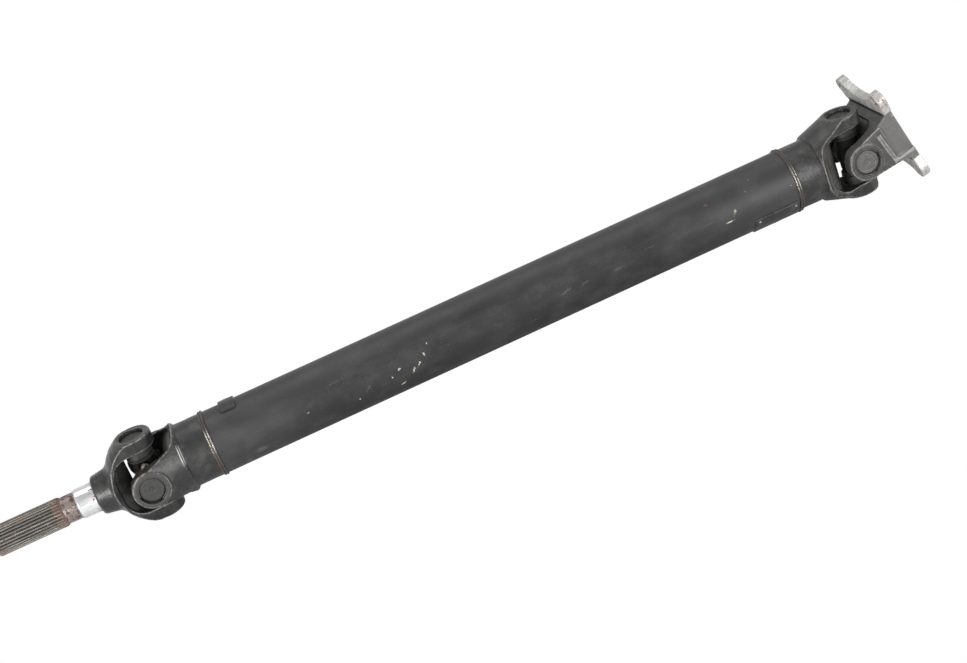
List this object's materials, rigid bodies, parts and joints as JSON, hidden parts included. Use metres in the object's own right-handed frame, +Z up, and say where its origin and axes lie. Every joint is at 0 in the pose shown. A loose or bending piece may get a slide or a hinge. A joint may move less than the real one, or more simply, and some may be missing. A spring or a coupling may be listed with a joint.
{
  "type": "universal joint shaft",
  "caption": "welded tubular drive shaft with a cross-and-bearing universal joint at each end, a splined stub yoke and a four-lug flange yoke",
  "frame": {"origin": "on the shaft axis, at the end of the stub yoke's seal journal where it meets the hub face", "axes": "+X along the tube towards the flange, +Z up along the stub yoke's trunnion axis, -Y towards the side that is shown"},
  "size_m": [0.9689, 0.0936, 0.1063],
  "materials": {
    "black_paint": "satin, worn",
    "stub_forging": "satin paint on the fork, bare ground journal and spline",
    "flange_forging": "satin paint on the fork, bare machined lugs and face",
    "weld_metal": "thin paint over weld bead",
    "bearing_steel": "dull",
    "spring_steel": "dull, dark",
    "plated_steel": "plated",
    "rubber": "matt"
  },
  "bodies": {
    "tube": {"shaft_tube": "black_paint", "weld_yoke_left": "black_paint", "weld_yoke_right": "black_paint", "weld_bead_left": "weld_metal", "weld_bead_right": "weld_metal", "balance_weight_left": "black_paint", "balance_weight_right": "black_paint", "cup_left_near": "bearing_steel", "snap_ring_left_near": "spring_steel", "needles_left_near": "bearing_steel", "cup_left_far": "bearing_steel", "snap_ring_left_far": "spring_steel", "needles_left_far": "bearing_steel", "cup_right_top": "bearing_steel", "snap_ring_right_top": "spring_steel", "needles_right_top": "bearing_steel", "cup_right_bottom": "bearing_steel", "snap_ring_right_bottom": "spring_steel", "needles_right_bottom": "bearing_steel"},
    "cross_left": {"cross_left": "bearing_steel", "grease_nipple_left": "plated_steel", "seal_stub_top": "rubber", "seal_stub_bottom": "rubber", "seal_left_near": "rubber", "seal_left_far": "rubber"},
    "stub": {"stub_yoke": "stub_forging", "cup_stub_top": "bearing_steel", "snap_ring_stub_top": "spring_steel", "needles_stub_top": "bearing_steel", "cup_stub_bottom": "bearing_steel", "snap_ring_stub_bottom": "spring_steel", "needles_stub_bottom": "bearing_steel"},
    "cross_right": {"cross_right": "bearing_steel", "grease_nipple_right": "plated_steel", "seal_right_top": "rubber", "seal_right_bottom": "rubber", "seal_flange_near": "rubber", "seal_flange_far": "rubber"},
    "flange": {"flange_yoke": "flange_forging", "cup_flange_near": "bearing_steel", "snap_ring_flange_near": "spring_steel", "needles_flange_near": "bearing_steel", "cup_flange_far": "bearing_steel", "snap_ring_flange_far": "spring_steel", "needles_flange_far": "bearing_steel"}
  },
  "joints": [
    {"name": "left_joint_pitch", "type": "hinge", "parent": "tube", "child": "cross_left", "pos_m": [0.0535, 0, 0], "axis": [0, 1, 0], "range_deg": [-18, 18]},
    {"name": "left_joint_yaw", "type": "hinge", "parent": "cross_left", "child": "stub", "pos_m": [0.0535, 0, 0], "axis": [0, 0, 1], "range_deg": [-18, 18]},
    {"name": "right_joint_yaw", "type": "hinge", "parent": "tube", "child": "cross_right", "pos_m": [0.8043, 0, 0], "axis": [0, 0, 1], "range_deg": [-18, 18]},
    {"name": "right_joint_pitch", "type": "hinge", "parent": "cross_right", "child": "flange", "pos_m": [0.8043, 0, 0], "axis": [0, 1, 0], "range_deg": [-2.35, 33.65]}
  ]
}
